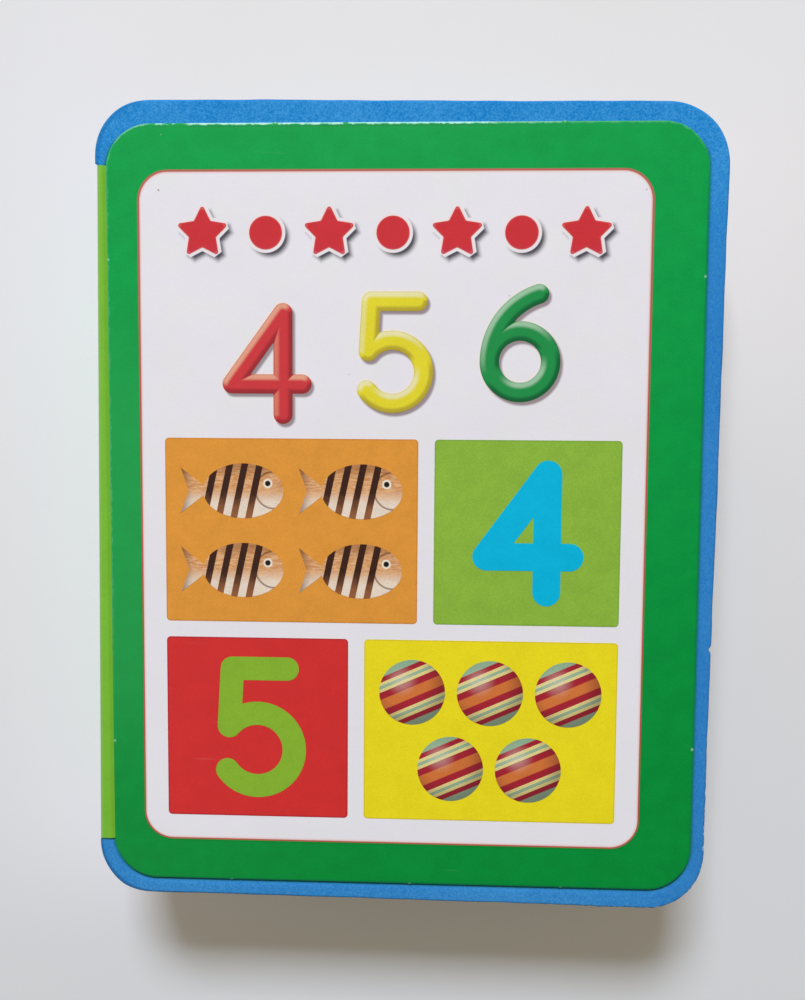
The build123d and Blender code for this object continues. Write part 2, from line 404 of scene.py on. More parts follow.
def press_in(net, face_z, up):
    """Presses a foam sheet's outer face down where the strip's flap is glued on it.

    The face sinks by the strip's thickness under the panel and by less beside it, where the strip stands
    proud.
    """
    x = net[:, :, 0]
    y = net[:, :, 1]
    along = smooth(y, strip_foot_y - 0.35, strip_foot_y + 0.1)
    along *= smooth(-y, -strip_head_y - 0.35, -strip_head_y + 0.1)
    across = smooth(-x, -strip_flap_x - 0.8, -strip_flap_x - 0.2)
    beside = smooth(front_panel_edge_x(y) - x, 0.1, 0.9)
    return sunk(net, face_z, up, along * across * (strip_thickness + 0.03 - strip_lift * beside))


def card_net(bottom_z, thickness, count, centre=(leaf_centre_x, 0.0), turn=0.0, notches=()):
    """One card panel: flat faces whose printed skin is drawn down a little at the cut edge.

    The edge's section is a quarter ellipse, wider than it is deep, then the straight cut. A notch is small
    and stands out of the outline in the shape of a bell, where the card was held in its sheet.
    """
    x, y, facing, steps = outline(panel_width, panel_height, panel_corner, count)
    shift = np.zeros_like(x)
    for nick_x, nick_y, reach, pale in notches:
        shift += reach * np.exp(-((x - nick_x) ** 2 + (y - nick_y) ** 2) / nick_width**2)
    x = x + shift * np.cos(facing)
    y = y + shift * np.sin(facing)
    bend = np.linspace(0, 0.42 * pi, 7)
    curve = panel_edge_run * (1 - np.sin(bend) / np.sin(bend[-1]))
    drop = panel_edge_drop * (1 - np.cos(bend))
    inset = np.concatenate([[8.0, 2.0], curve, curve[::-1], [2.0, 8.0]])
    height = np.concatenate([[thickness, thickness], thickness - drop, drop[::-1], [0.0, 0.0]])
    net = closed_sheet(x, y, facing, inset, bottom_z + height)
    across, along = turned(net[:, :, 0], net[:, :, 1], turn)
    return np.stack([across + centre[0], along + centre[1], net[:, :, 2]], axis=-1)


def faced(net, cut=0):
    """A net with each face row's material: 0 for the skin, and cut for the row at its middle."""
    rows = np.zeros(len(net) - 1, dtype=int)
    rows[len(rows) // 2] = cut
    return net, rows


def strip_net(up):
    """Half of the folded strip: up the spine from the book's middle, round the bend, and in under the panel.

    The outer line runs up at the spine's face, turns a quarter circle, stands proud as far as the panel's
    edge and then dips under it. The inner line is the same one set in by the card's thickness. Both are
    drawn along the spine. Up is 1 for the front half; -1 turns the same half over for the back.
    """
    rise = np.concatenate([[17.1, 17.13], np.linspace(18.5, 27.3, 7), np.linspace(27.5, 29.5, 21),
                           np.linspace(30.0, 32.9, 6)])
    strip_end_shadow = 0.07 * np.exp(-(((rise - front_joint_z) / 0.22) ** 2))
    bend = np.linspace(0.04, pi / 2, 8)
    radius = strip_bend_radius
    top_z = book_thickness - panel_thickness + strip_lift
    margin = np.array([-4.0, -2.6, -1.2, -1.0, -0.85, -0.7, -0.55, -0.4, -0.25, -0.1, 0.6])
    y = np.linspace(strip_foot_y, strip_head_y, 241)
    y[[1, -2]] = y[[0, -1]] + (0.04, -0.04)
    edge_x = front_panel_edge_x(y) if up > 0 else np.full_like(y, leaf_centre_x - panel_width / 2)
    # The outer line's x and z, then the inner line's
    lines = []
    for skin in (0.0, strip_thickness):
        bend_x = spine_x + radius - (radius - skin) * np.cos(bend)
        bend_z = top_z - radius + (radius - skin) * np.sin(bend)
        margin_x = edge_x + margin[:, None]
        margin_x = np.maximum(margin_x, spine_x + radius + 0.02 * np.arange(len(margin))[:, None])
        margin_z = top_z - skin - strip_lift * smooth(margin_x - edge_x, -1.0, -0.1)
        end_z = top_z - strip_lift - skin
        for runs in (((spine_x + skin + strip_end_shadow)[:, None], bend_x[:, None], margin_x, [[strip_flap_x]]),
                     (rise[:, None], bend_z[:, None], margin_z, [[end_z]])):
            lines.append(np.concatenate([np.broadcast_to(run, (len(run), len(y))) for run in runs]))
    across = np.concatenate([lines[0], lines[2][::-1]])
    level = np.concatenate([lines[1], lines[3][::-1]])
    if up < 0:
        level = book_thickness - level
    net = np.stack([across, np.broadcast_to(y, across.shape), level], axis=-1).transpose(1, 0, 2)
    return net if up < 0 else net[::-1]


# Nodes


class Nodes:
    """Adds nodes to a material's or a group's tree, and hands on their output sockets."""

    def __init__(self, tree):
        self.tree = tree

    def feed(self, socket, value):
        """Links a socket, or sets a plain value."""
        if isinstance(value, bpy.types.NodeSocket):
            self.tree.links.new(value, socket)
        else:
            socket.default_value = value

    def node(self, kind, feeds=(), **settings):
        """Adds a node, with its settings and what feeds its sockets, by name or number. Gives the node."""
        made = self.tree.nodes.new(kind)
        for setting, value in settings.items():
            setattr(made, setting, value)
        for name, value in dict(feeds).items():
            self.feed(made.inputs[name], value)
        return made

    def math(self, operation, *values):
        """One sum on numbers. Past the second, each value is taken in with the outcome so far."""
        made = self.node("ShaderNodeMath", enumerate(values[:2]), operation=operation).outputs[0]
        return self.math(operation, made, *values[2:]) if values[2:] else made

    def times(self, *values):
        """The product of numbers, or the number itself where there is one."""
        return self.math("MULTIPLY", *values) if values[1:] else values[0]

    def plus(self, *values):
        """The sum of numbers."""
        return self.math("ADD", *values)

    def minus(self, first, second):
        """The difference of two numbers."""
        return self.math("SUBTRACT", first, second)

    def most(self, *values):
        """The highest of some numbers."""
        return self.math("MAXIMUM", *values)

    def least(self, *values):
        """The lowest of some numbers."""
        return self.math("MINIMUM", *values)

    def size(self, value):
        """A number without its sign."""
        return self.math("ABSOLUTE", value)

    def apart(self, first, second):
        """How far two numbers are apart."""
        return self.size(self.minus(first, second))

    def vector(self, operation, *values):
        """One sum on vectors that gives a vector."""
        return self.node("ShaderNodeVectorMath", enumerate(values), operation=operation).outputs[0]

    def measure(self, operation, *values):
        """One sum on vectors that gives a number."""
        return self.node("ShaderNodeVectorMath", enumerate(values), operation=operation).outputs["Value"]

    def parts(self, value):
        """A vector's x, y and z."""
        made = self.node("ShaderNodeSeparateXYZ", {0: value})
        return made.outputs[0], made.outputs[1], made.outputs[2]

    def joined(self, x, y):
        """A level vector from its x and y."""
        return self.node("ShaderNodeCombineXYZ", {0: x, 1: y}).outputs[0]

    def flat(self, place):
        """A place with its height taken out."""
        return self.vector("MULTIPLY", place, (1, 1, 0))

    def fade(self, value, low, high, first=0, last=1):
        """Goes smoothly from first, where the value is low, to last, where it is high."""
        feeds = {0: value, 1: low, 2: high, 3: first, 4: last}
        return self.node("ShaderNodeMapRange", feeds, interpolation_type="SMOOTHSTEP").outputs[0]

    def mix(self, share, first, second, blend="MIX"):
        """Two colours mixed by a share."""
        made = self.node("ShaderNodeMix", {0: share, 6: first, 7: second}, data_type="RGBA", blend_type=blend)
        return made.outputs[2]

    def over(self, colour, *layers):
        """Tints laid over a colour one by one, each with shares that are multiplied together."""
        for tint, *shares in layers:
            colour = self.mix(self.times(*shares), colour, tint)
        return colour

    def noise(self, place, size, detail=2, roughness=0.5):
        """Cloudy noise with features of about a size, from 0 to 1."""
        feeds = {"Vector": place, "Scale": 1 / size, "Detail": detail, "Roughness": roughness}
        return self.node("ShaderNodeTexNoise", feeds).outputs[0]

    def cells(self, place, size):
        """Scattered points a size apart: the distance to the nearest, and a random colour for it."""
        made = self.node("ShaderNodeTexVoronoi", {"Vector": place, "Scale": 1 / size})
        return made.outputs["Distance"], made.outputs["Color"]

    def bump(self, height, distance, **below):
        """A normal from a height, distance in millimetres for a height of 1, on top of the Normal below."""
        return self.node("ShaderNodeBump", {"Height": height, "Distance": distance * MM, **below}).outputs[0]

    def use(self, group, **feeds):
        """Places a node group and gives its first output."""
        return self.node("ShaderNodeGroup", feeds, node_tree=group).outputs[0]

    def seen_from(self, place, centre, turn, unit=1):
        """A place measured from a centre in a unit, along axes turned by an angle."""
        location = (centre[0] * unit, centre[1] * unit, 0)
        feeds = {"Vector": place, "Location": location, "Rotation": (0, 0, turn), "Scale": (unit, unit, unit)}
        return self.node("ShaderNodeMapping", feeds, vector_type="TEXTURE").outputs[0]

    def place(self, centre=(0, 0), turn=0):
        """Millimetres from a centre, along turned axes, from the piece's own coordinates."""
        return self.seen_from(self.node("ShaderNodeTexCoord").outputs["Object"], centre, turn, MM)

    def drawn_out(self, place, scale, turn=0):
        """A place with its axes scaled, so that noise there is drawn out into streaks."""
        feeds = {"Vector": place, "Rotation": (0, 0, turn), "Scale": scale}
        return self.node("ShaderNodeMapping", feeds).outputs[0]


def group(name, draw, outputs, **inputs):
    """A node group. Draw adds its nodes, given its inputs in order, and gives a value for each output."""
    tree = bpy.data.node_groups.new(name, "ShaderNodeTree")
    for direction, sockets in (("INPUT", inputs), ("OUTPUT", outputs)):
        for socket, kind in sockets.items():
            tree.interface.new_socket(socket, in_out=direction, socket_type="NodeSocket" + kind)
    n = Nodes(tree)
    given = tree.nodes.new("NodeGroupInput").outputs
    made = draw(n, *[given[socket] for socket in inputs])
    values = made if isinstance(made, tuple) else (made,)
    for socket, value in zip(tree.nodes.new("NodeGroupOutput").inputs, values):
        n.feed(socket, value)
    return tree


def material(name, **numbers):
    """A new material, its nodes and its shader's sockets, on which plain numbers are set."""
    made = bpy.data.materials.new(name)
    made.use_nodes = True
    shader = made.node_tree.nodes["Principled BSDF"]
    for socket, value in numbers.items():
        shader.inputs[socket.replace("_", " ")].default_value = value
    return made, Nodes(made.node_tree), shader.inputs


# Node groups: distances to printed shapes, in millimetres


def line_distance(n, place, start, end):
    """Distance from a straight run: from the place to the nearest point between start and end."""
    run = n.vector("SUBTRACT", end, start)
    reach = n.vector("SUBTRACT", place, start)
    share = n.math("DIVIDE", n.measure("DOT_PRODUCT", reach, run), n.measure("DOT_PRODUCT", run, run))
    share = n.least(n.most(share, 0), 1)
    return n.measure("DISTANCE", reach, n.vector("MULTIPLY", run, share))


def arc_distance(n, place, radius, spread):
    """Distance from an arc about the origin that reaches from +x by the spread, an angle, to both sides."""
    x, y, z = n.parts(place)
    y = n.size(y)
    angle = n.least(n.math("ARCTAN2", y, x), spread)
    nearest_x = n.times(radius, n.math("COSINE", angle))
    nearest_y = n.times(radius, n.math("SINE", angle))
    return n.measure("DISTANCE", n.joined(x, y), n.joined(nearest_x, nearest_y))


def box_distance(n, place, half, corner):
    """Signed distance from a rounded rectangle about the origin: past a corner's centre, less the radius."""
    past = n.vector("SUBTRACT", n.vector("ABSOLUTE", place), half)
    x, y, z = n.parts(n.vector("ADD", past, corner))
    outside = n.measure("LENGTH", n.joined(n.most(x, 0), n.most(y, 0)))
    inside = n.least(n.most(x, y), 0)
    return n.minus(n.plus(outside, inside), corner)


def stepped(n, value, pitch, offset=0):
    """The distance of a value from the nearest of evenly spaced steps, kept with its sign."""
    moved = n.minus(value, offset)
    return n.minus(moved, n.times(n.math("ROUND", n.math("DIVIDE", moved, pitch)), pitch))


def star_distance(n, place):
    """Signed distance from a five-pointed star about the origin: one half point is folded over all ten."""
    x, y, z = n.parts(place)
    fifth = tau / 5
    folded = n.size(stepped(n, n.math("ARCTAN2", x, y), fifth))
    reach = n.measure("LENGTH", n.joined(x, y))
    along = n.times(reach, n.math("COSINE", folded))
    aside = n.times(reach, n.math("SINE", folded))
    waist_x = star_waist * cos(fifth / 2)
    waist_y = star_waist * sin(fifth / 2)
    edge = np.hypot(star_radius - waist_x, waist_y)
    out_x = waist_y / edge
    out_y = (star_radius - waist_x) / edge
    side = n.plus(n.times(n.minus(along, star_radius), out_x), n.times(aside, out_y))
    tip = n.minus(along, star_radius - 2.2 * star_tip)
    return n.most(side, tip)


def marks_distance(n, place):
    """Signed distance from the row of stars and dots: every second place of the row holds a dot."""
    x, y, z = n.parts(place)
    number = n.math("ROUND", n.math("DIVIDE", x, mark_pitch))
    number = n.least(n.most(number, -marks_each_side), marks_each_side)
    here = n.joined(n.minus(x, n.times(number, mark_pitch)), y)
    star = n.use(STAR, Place=here)
    dot = n.minus(n.measure("LENGTH", here), dot_radius)
    odd = n.math("MODULO", n.size(number), 2)
    return n.plus(n.times(star, odd), n.times(dot, n.minus(1, odd)))


def stroked(n, place, nearest, *runs):
    """Signed distance from a numeral's outline, from what is nearest so far and from straight runs.

    A run's start and end are shares of the numeral's reach, which is its height between its strokes' middles.
    """
    for run in runs:
        start, end = [(x * numeral_reach, y * numeral_reach, 0) for x, y in run]
        nearest = n.least(n.use(LINE, Place=place, Start=start, End=end), nearest)
    return n.minus(nearest, stroke_width / 2)


def four_distance(n, place):
    """Signed distance from the numeral four: a slanting stroke, a bar and a stem."""
    apex = (0.17, 0.5)
    elbow = (-0.34, -0.2)
    bar_end = (0.36, -0.2)
    foot = (0.17, -0.5)
    far_off = 100
    return stroked(n, n.flat(place), far_off, (apex, elbow), (elbow, bar_end), (apex, foot))


def five_distance(n, place):
    """Signed distance from the numeral five: a bar and a stem over an open bowl."""
    bowl = 0.31
    centre_y = bowl - 0.5
    bowl_start = radians(140)
    bowl_sweep = radians(285)
    shoulder = (bowl * cos(bowl_start), centre_y + bowl * sin(bowl_start))
    corner = (-0.21, 0.5)
    bar_end = (0.25, 0.5)
    place = n.flat(place)
    seen = n.seen_from(place, (0, centre_y * numeral_reach), bowl_start - bowl_sweep / 2)
    arc = n.use(ARC, Place=seen, Radius=bowl * numeral_reach, Spread=bowl_sweep / 2)
    return stroked(n, place, arc, (shoulder, corner), (corner, bar_end))


def six_distance(n, place):
    """Signed distance from the numeral six: a ring with a long tail curving up from its left side.

    The tail is an arc that starts level with the ring's middle and ends a rise and a run away from there.
    """
    bowl = 0.3 * numeral_reach
    centre_y = bowl - 0.5 * numeral_reach
    rise = 0.66 * numeral_reach
    run = 0.48 * numeral_reach
    tail = (run**2 + rise**2) / (2 * run)
    sweep = atan2(rise, tail - run)
    place = n.flat(place)
    seen = n.seen_from(place, (tail - bowl, centre_y), pi - sweep / 2)
    arc = n.use(ARC, Place=seen, Radius=tail, Spread=sweep / 2)
    ring = n.apart(n.measure("DISTANCE", place, (0, centre_y, 0)), bowl)
    return stroked(n, place, n.least(arc, ring))


# Node groups: finishes


def laminate(n, place, colour, specks):
    """Gloss film over print: faint cloudiness, dust specks, hair scuffs, and a skin that isn't quite flat."""
    cloud = n.fade(n.noise(place, 14, 3), 0.3, 0.7)
    grain = n.fade(n.noise(place, 0.45), 0.3, 0.7)
    tone = n.plus(n.times(n.plus(cloud, grain), 0.02), 0.98)
    gap, tint = n.cells(place, 9)
    chosen, lighter, width = n.parts(tint)
    speck = n.times(n.fade(gap, n.times(width, 0.03), 0), n.fade(chosen, 0.5, 0.52), specks)
    scuffs = 0
    for angle, patch in ((0.7, 30), (2, 41)):
        hairs = n.noise(n.drawn_out(place, (0.06, 1.4, 1), angle), 1.6, 3, 0.6)
        scuffed = n.times(n.fade(hairs, 0.70, 0.78), n.fade(n.noise(place, patch, 1), 0.50, 0.66))
        scuffs = n.most(scuffed, scuffs)
    colour = n.over(
        n.mix(1, colour, tone, "MULTIPLY"),
        (paint(70, 74, 80), speck, n.fade(lighter, 0.3, 0.35)),
        (paint(222, 226, 224), speck, n.fade(lighter, 0.3, 0.25)),
        (paint(214, 222, 218), scuffs, 0.05),
    )
    roughness = n.plus(n.times(scuffs, 0.12), n.fade(cloud, 0, 1, 0.285, 0.32))
    skin = n.bump(n.noise(place, 1.6), 0.02)
    return colour, roughness, n.bump(n.noise(place, 9, 1), 0.03, Normal=skin)


def print_grain(n, place, colour, amount):
    """Ink laid as fine dots: a colour that wavers a little from spot to spot."""
    dots = n.fade(n.noise(place, 0.3, 1), 0.3, 0.7, -0.5, 0.5)
    patches = n.fade(n.noise(place, 5, 3, 0.6), 0.3, 0.7, -0.35, 0.35)
    tone = n.plus(n.times(n.plus(dots, patches), amount), 1)
    return n.mix(1, colour, tone, "MULTIPLY")


def puffed(n, distance, ahead, colour, pale, deep):
    """A printed stroke that looks raised: its rim is pale towards the head's left and dark away from it.

    Distance is the signed distance at the place, and ahead the same one a step towards the light.
    """
    slope = n.minus(ahead, distance)
    lit = n.times(n.fade(distance, -1.65, -0.75), n.fade(slope, 0.02, 0.34))
    return n.over(
        colour,
        (pale, lit, 0.8),
        (deep, n.fade(distance, -1.4, -0.5), n.fade(slope, 0, -0.16), 0.85),
        (deep, n.fade(distance, -0.42, -0.05), n.fade(lit, 0, 1, 1, 0.5), 0.45),
    )


DISTANCE = {"Distance": "Float"}
COLOUR = {"Colour": "Color"}
FILM = {"Colour": "Color", "Roughness": "Float", "Normal": "Vector"}

LINE = group("line distance", line_distance, DISTANCE, Place="Vector", Start="Vector", End="Vector")
ARC = group("arc distance", arc_distance, DISTANCE, Place="Vector", Radius="Float", Spread="Float")
BOX = group("rounded box distance", box_distance, DISTANCE, Place="Vector", Half="Vector", Corner="Float")
STAR = group("star distance", star_distance, DISTANCE, Place="Vector")
MARKS = group("mark row distance", marks_distance, DISTANCE, Place="Vector")
FOUR = group("four distance", four_distance, DISTANCE, Place="Vector")
FIVE = group("five distance", five_distance, DISTANCE, Place="Vector")
SIX = group("six distance", six_distance, DISTANCE, Place="Vector")
LAMINATE = group("laminate", laminate, FILM, Place="Vector", Colour="Color", Specks="Float")
PRINT_GRAIN = group("print grain", print_grain, COLOUR, Place="Vector", Colour="Color", Amount="Float")
PUFFED = group("puffed stroke", puffed, COLOUR,
               Distance="Float", Ahead="Float", Colour="Color", Pale="Color", Deep="Color")

# The big numerals, by their step from the middle one
NUMERALS = {-1: FOUR, 0: FIVE, 1: SIX}


# Materials

FIELD_WHITE = paint(236, 236, 242)
FIELD_LILAC = paint(236, 234, 245)
KEYLINE_RED = paint(188, 104, 94)


def print_place(n, x=0, y=0):
    """Millimetres from a point of the front panel's print, along the print's own turned axes."""
    across, along = turned(x, y, front_panel_turn)
    return n.place((front_panel_x + across, front_panel_y + along), front_panel_turn)


def from_box(n, place, width, height, corner):
    """Signed distance from a rounded rectangle about a place's origin."""
    return n.use(BOX, Place=place, Half=(width / 2, height / 2, 0), Corner=corner)


def from_panel(n):
    """Signed distance from the front panel's outline."""
    return from_box(n, print_place(n), panel_width, panel_height, panel_corner)


def from_field(n):
    """Signed distance from the white field's outline."""
    return from_box(n, print_place(n, field_x, field_y), field_width, field_height, field_corner)


def from_marks(n, aside=0, up=0):
    """Signed distance from the row of marks, moved aside and up."""
    return n.use(MARKS, Place=n.flat(print_place(n, field_x + aside, mark_y + up)))


def from_numeral(n, step, aside=0, up=0):
    """Signed distance from the big numeral a step from the middle one, moved aside and up."""
    x = field_x + step * numeral_pitch + aside
    y = numeral_y + step * numeral_rise + up
    return n.use(NUMERALS[step], Place=print_place(n, x, y))


def grained(n, colour, amount):
    """A colour laid as printed dots."""
    return n.use(PRINT_GRAIN, Place=n.place(), Colour=colour, Amount=amount)


def printed(name, draw, *told, grain=0, specks=0.35):
    """A print under gloss film. Draw gives its colour, from the nodes and from what it is told."""
    made, n, shader = material(name, Specular_IOR_Level=film_specular)
    colour = draw(n, *told)
    if grain:
        colour = grained(n, colour, grain)
    film = n.use(LAMINATE, Place=n.place(), Colour=colour, Specks=specks).node.outputs
    for socket, value in zip(("Base Color", "Roughness", "Normal"), film):
        n.feed(shader[socket], value)
    return made


def foam_material(name, deep, pale, pit_and_edge_shade, worn=False):
    """Soft closed-cell foam: fine pale and deep cells, broad cloudiness, rare pinholes, and painted shade on
    its rim.

    Worn is for the front leaf: its grain is stronger at the head, and worn_foam_with_painted_light() adds the
    rest.
    """
    made, n, shader = material(name, Roughness=0.85, Specular_IOR_Level=0.1, Sheen_Weight=0.05)
    place = n.place()
    x, y, z = n.parts(place)
    cells = n.noise(place, 0.42, 2, 0.6)
    share = n.plus(
        n.fade(cells, 0.34, 0.68, 0, 0.6),
        n.fade(n.noise(place, 0.9), 0.34, 0.68, 0, 0.2),
        n.fade(n.noise(place, 16, 3), 0.35, 0.7, 0, 0.2),
    )
    if worn:
        usual = 0.44
        share = n.plus(n.times(n.minus(share, usual), n.fade(y, 55, 86, 0.6, 1.3)), usual)
    gap, tint = n.cells(place, 3.2)
    chosen, other, width = n.parts(tint)
    pinhole = n.times(n.fade(gap, n.fade(width, 0, 1, 0.04, 0.08), 0.02), n.fade(chosen, 0.88, 0.9))
    rim = from_box(n, n.place((leaf_centre_x, 0)), leaf_width, leaf_height, leaf_corner)
    colour = n.over(
        deep,
        (pale, share),
        (pit_and_edge_shade, pinhole, 0.7),
        # Painted shade: the rim is painted darker, where the rounded edge turns away from the light
        (pit_and_edge_shade, n.fade(rim, -0.5, -0.1, 0, 0.5)),
    )
    if worn:
        colour = worn_foam_with_painted_light(n, colour, rim)
    skin = n.bump(cells, 0.04)
    skin = n.bump(n.minus(1, pinhole), 0.15, Normal=skin)
    skin = n.bump(n.noise(place, 4.5), 0.08, Normal=skin)
    n.feed(shader["Base Color"], colour)
    n.feed(shader["Normal"], skin)
    return made


def worn_foam_with_painted_light(n, colour, rim):
    """The front leaf: painted brighter at the head and darker at the fore edge as painted light and shade,
    with wear.

    Pale crumbs lie on the rim of its lower corner away from the spine. Painted shade darkens it in a fine
    line round its panel, but not at the head, darker and wider at the foot, and a painted shadow lies past
    the strip's foot.
    """
    place = n.place()
    x, y, z = n.parts(place)
    crumbs = n.fade(n.noise(place, 0.9, 3, 0.7), 0.54, 0.60)
    at_corner = n.times(n.fade(x, 34, 58), n.fade(y, -52, -72))
    near_top = n.fade(z, book_thickness - 2.6, book_thickness - 1.2)
    # Painted shade: a fine dark line round the panel where its edge meets the foam, wider and darker at the
    # foot
    panel_edge_shade_reach = n.fade(y, -70, -84, 0.8, 1.15)
    panel_edge_shade = n.times(n.fade(from_panel(n), panel_edge_shade_reach, 0.2), n.fade(y, 84, 80))
    panel_edge_shade_colour = n.mix(n.fade(y, -77, -85), paint(20, 124, 114), paint(4, 106, 94))
    # Painted shadow of the strip's end, just past its foot
    strip_end_shadow = n.times(n.fade(n.apart(y, strip_foot_y - 0.3), 0.4, 0.15), n.fade(x, -61, -64))
    return n.over(
        colour,
        # Painted light and shade: brighter towards the head, darker at the fore edge below it
        (paint(8, 146, 222), n.fade(y, 30, 88, 0, 0.3)),
        (paint(22, 106, 190), n.fade(x, 52, 64), n.fade(y, 80, 50, 0, 0.25)),
        (paint(196, 216, 228), n.fade(rim, -0.45, -0.15), crumbs, at_corner, near_top, 0.9),
        (panel_edge_shade_colour, panel_edge_shade, 0.78),
        (paint(20, 84, 70), strip_end_shadow, 0.55),
    )


def border_green(n):
    """The green of the panels' borders, painted a little deeper towards the foot as painted shade."""
    x, y, z = n.parts(n.place())
    return grained(n, n.mix(n.fade(y, 80, -85), paint(10, 161, 75), paint(5, 145, 60)), 0.14)


def worn_green_with_painted_light(n):
    """The front panel's print: a painted highlight along its head edge and faintly at the spine, and pale at
    each nick.

    It has a painted sheen, paler beside the spine. Its turned-down edge is painted darker as shade at the
    right and at the foot.
    """
    here = print_place(n)
    x, y, z = n.parts(here)
    from_edge = from_panel(n)
    ragged = n.noise(here, 1.5, 3, 0.6)
    at_edge = n.fade(n.plus(from_edge, n.fade(ragged, 0.34, 0.66, -0.12, 0.14)), -0.5, -0.25)
    broken = n.fade(n.noise(here, 1.3), 0.44, 0.58)
    head_highlight = n.times(
        n.fade(y, 78.5, 85.5),
        n.fade(x, 17, 21, 1, 0.38),
        n.fade(x, 32, 38, 1, 0.35),
        n.fade(x, -58, -56, 0.4, 0.95),
        n.most(broken, n.fade(x, -49.5, -47), n.fade(x, -56.5, -58)),
    )
    spine_highlight = n.times(n.fade(x, -62, -66, 0, 0.12), n.fade(y, -50, -10))
    flecks = 0
    for nick_x, nick_y, reach, pale in nicks:
        gap = n.measure("DISTANCE", n.flat(here), (nick_x, nick_y, 0))
        flecks = n.most(n.fade(gap, 0.42, 0.16, 0, pale), flecks)
        # The nicks at the head break the painted highlight
        if nick_y > 80:
            head_highlight = n.times(head_highlight, n.fade(gap, 0.45, 0.8))
    shaded = n.most(n.times(n.fade(x, 60, 65, 0, 0.6), n.fade(y, 76, 66)), n.fade(y, -78, -85))
    highlight_colour = n.mix(n.fade(ragged, 0.42, 0.62), paint(148, 229, 208), paint(190, 242, 230))
    return n.over(
        border_green(n),
        # Painted sheen: paler beside the spine
        (paint(54, 171, 93), n.fade(n.apart(y, -8), 62, 24), n.fade(x, -48, -60, 0, 0.33)),
        (paint(36, 118, 72), n.fade(n.apart(from_edge, -0.75), 0.32, 0.08), head_highlight, 0.4),
        # Painted shade on the turned-down edge, at the right and at the foot
        (paint(4, 110, 76), shaded, n.fade(from_edge, -0.65, -0.1, 0, 0.7)),
        # Painted highlight along the head edge, and faintly along the spine
        (highlight_colour, at_edge, n.most(head_highlight, spine_highlight)),
        (paint(176, 222, 204), flecks),
    )


def bordered(n):
    """An inside panel or page: a plain white field in a green border."""
    width = panel_width - 2 * border_inset
    height = panel_height - 2 * border_inset
    field = from_box(n, n.place((leaf_centre_x, 0)), width, height, field_corner)
    return n.over(
        border_green(n),
        (KEYLINE_RED, n.fade(field, 0.62, 0.5)),
        (FIELD_WHITE, n.fade(field, 0.06, -0.06)),
    )


def card_edge_material():
    """The cut edge of the card: pale grey pulp in fine lies, with a breath of the green print."""
    made, n, shader = material("card edge", Roughness=0.8, Specular_IOR_Level=film_specular)
    fibres = n.noise(n.drawn_out(n.place(), (0.5, 0.5, 9)), 1.2, 4, 0.6)
    colour = n.mix(n.fade(fibres, 0.3, 0.7), paint(176, 190, 176), paint(224, 228, 220))
    n.feed(shader["Base Color"], colour)
    n.feed(shader["Normal"], n.bump(fibres, 0.05))
    return made


def lime_strip(n):
    """The strip's print, rubbed pale on its fold lines, with a painted highlight along its bend."""
    place = n.place()
    x, y, z = n.parts(place)
    rubbed = n.fade(n.noise(place, 1.1, 3, 0.6), 0.5, 0.66)
    folds = n.most(*[n.fade(n.apart(z, level), 0.5, 0.05) for level in (back_joint_z, front_joint_z)])
    bend_highlight = n.times(n.fade(n.apart(z, book_thickness / 2), 15.6, 16.6), n.fade(x, -68.9, -69.6))
    return n.over(
        grained(n, paint(122, 190, 56), 0.07),
        (paint(206, 224, 182), folds, n.fade(rubbed, 0, 1, 0.25, 1), 0.7),
        # Painted highlight along the bend
        (paint(150, 198, 112), bend_highlight, 0.5),
    )


def white_field(n):
    """The white field, with the soft printed shadows of marks and numerals, and the marks' pale outline."""
    x, y, z = n.parts(n.place())
    tint = n.fade(n.noise(n.place(), 7), 0.35, 0.65)
    from_edge = from_field(n)
    colour = n.over(
        grained(n, n.mix(tint, FIELD_WHITE, FIELD_LILAC), 0.012),
        # Painted light: the white is painted brighter and bluer towards the foot
        (paint(238, 239, 249), n.fade(y, 0, -80, 0, 0.8)),
        (paint(240, 214, 212), n.fade(from_edge, -0.7, -0.2, 0, 0.7)),
        (paint(198, 126, 116), n.fade(from_edge, -0.28, -0.02, 0, 0.6)),
    )
    for step in NUMERALS:
        colour = n.over(
            colour,
            (paint(245, 235, 232), n.fade(from_numeral(n, step), 0.7, 0.15, 0, 0.7)),
            (paint(126, 106, 114), n.fade(from_numeral(n, step, 0.56, -0.76), 0.38, -0.3, 0, 0.8)),
        )
    rim = from_marks(n)
    speck = n.measure("LENGTH", n.flat(n.place(field_speck)))
    return n.over(
        colour,
        (paint(60, 58, 70), n.fade(from_marks(n, 0.9, -0.95), 1.4, -0.25, 0, 0.96)),
        (paint(238, 234, 241), n.fade(rim, 0.85, 0.65)),
        (paint(246, 214, 210), n.fade(rim, 0.35, 0, 0, 0.6)),
        (paint(60, 60, 66), n.fade(speck, 0.26, 0.12, 0, 0.8)),
    )


def keyline(n):
    """The thin line round the white field: broader and browner at the head, finer and redder at the foot."""
    x, y, z = n.parts(n.place())
    past = n.minus(from_field(n), n.fade(y, -50, 70, 0.28, 0.46))
    ink = n.mix(n.fade(y, 70, -50), KEYLINE_RED, paint(190, 74, 74))
    return n.mix(n.fade(past, -0.1, 0.08), ink, border_green(n))


def mark_row(n):
    """The row of marks: red, with a little violet towards the foot, and paler along its edge."""
    x, y, z = n.parts(print_place(n, field_x, mark_y))
    return n.over(
        paint(207, 52, 60),
        (paint(186, 60, 102), n.fade(y, -2, -6.5, 0, 0.6)),
        (paint(224, 110, 104), n.fade(from_marks(n), -0.3, -0.05, 0, 0.5)),
    )


def puffed_numeral(n, step, body, pale, deep):
    """One big numeral that the print makes look raised."""
    here = from_numeral(n, step)
    ahead = from_numeral(n, step, 0.17, -0.36)
    return n.use(PUFFED, Distance=here, Ahead=ahead, Colour=body, Pale=pale, Deep=deep)


